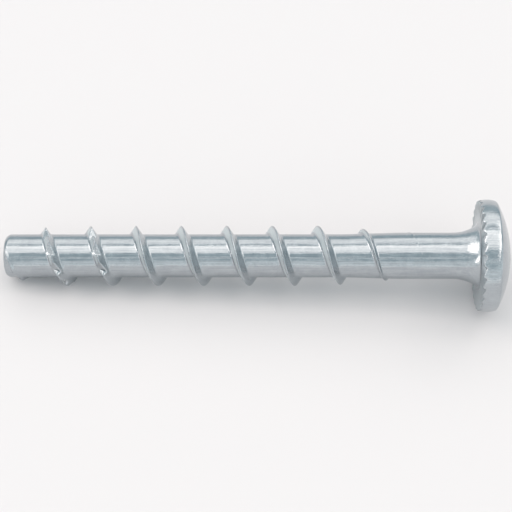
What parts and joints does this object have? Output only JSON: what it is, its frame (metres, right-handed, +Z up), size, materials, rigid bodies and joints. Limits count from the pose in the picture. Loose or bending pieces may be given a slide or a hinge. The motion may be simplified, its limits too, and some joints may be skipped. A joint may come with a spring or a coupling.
{
  "type": "concrete screw",
  "caption": "Screw anchor for concrete: coarse self-cutting thread with a notched tip end, plain shank, and a flanged pan head with locking teeth and a six-lobed drive.",
  "frame": {"origin": "middle of the footprint of the screw as it lies on a table, at the table's surface", "axes": "+X from the tip to the head, as the screw lies, with its own axis rising 3.62 degrees from +X towards +Z; +Z up"},
  "size_m": [0.064, 0.0142, 0.0143],
  "materials": {
    "zinc_plated_steel": "bright zinc plating, lightly drawn along the shank"
  },
  "bodies": {
    "root": {"concrete_screw": "zinc_plated_steel"}
  },
  "joints": []
}
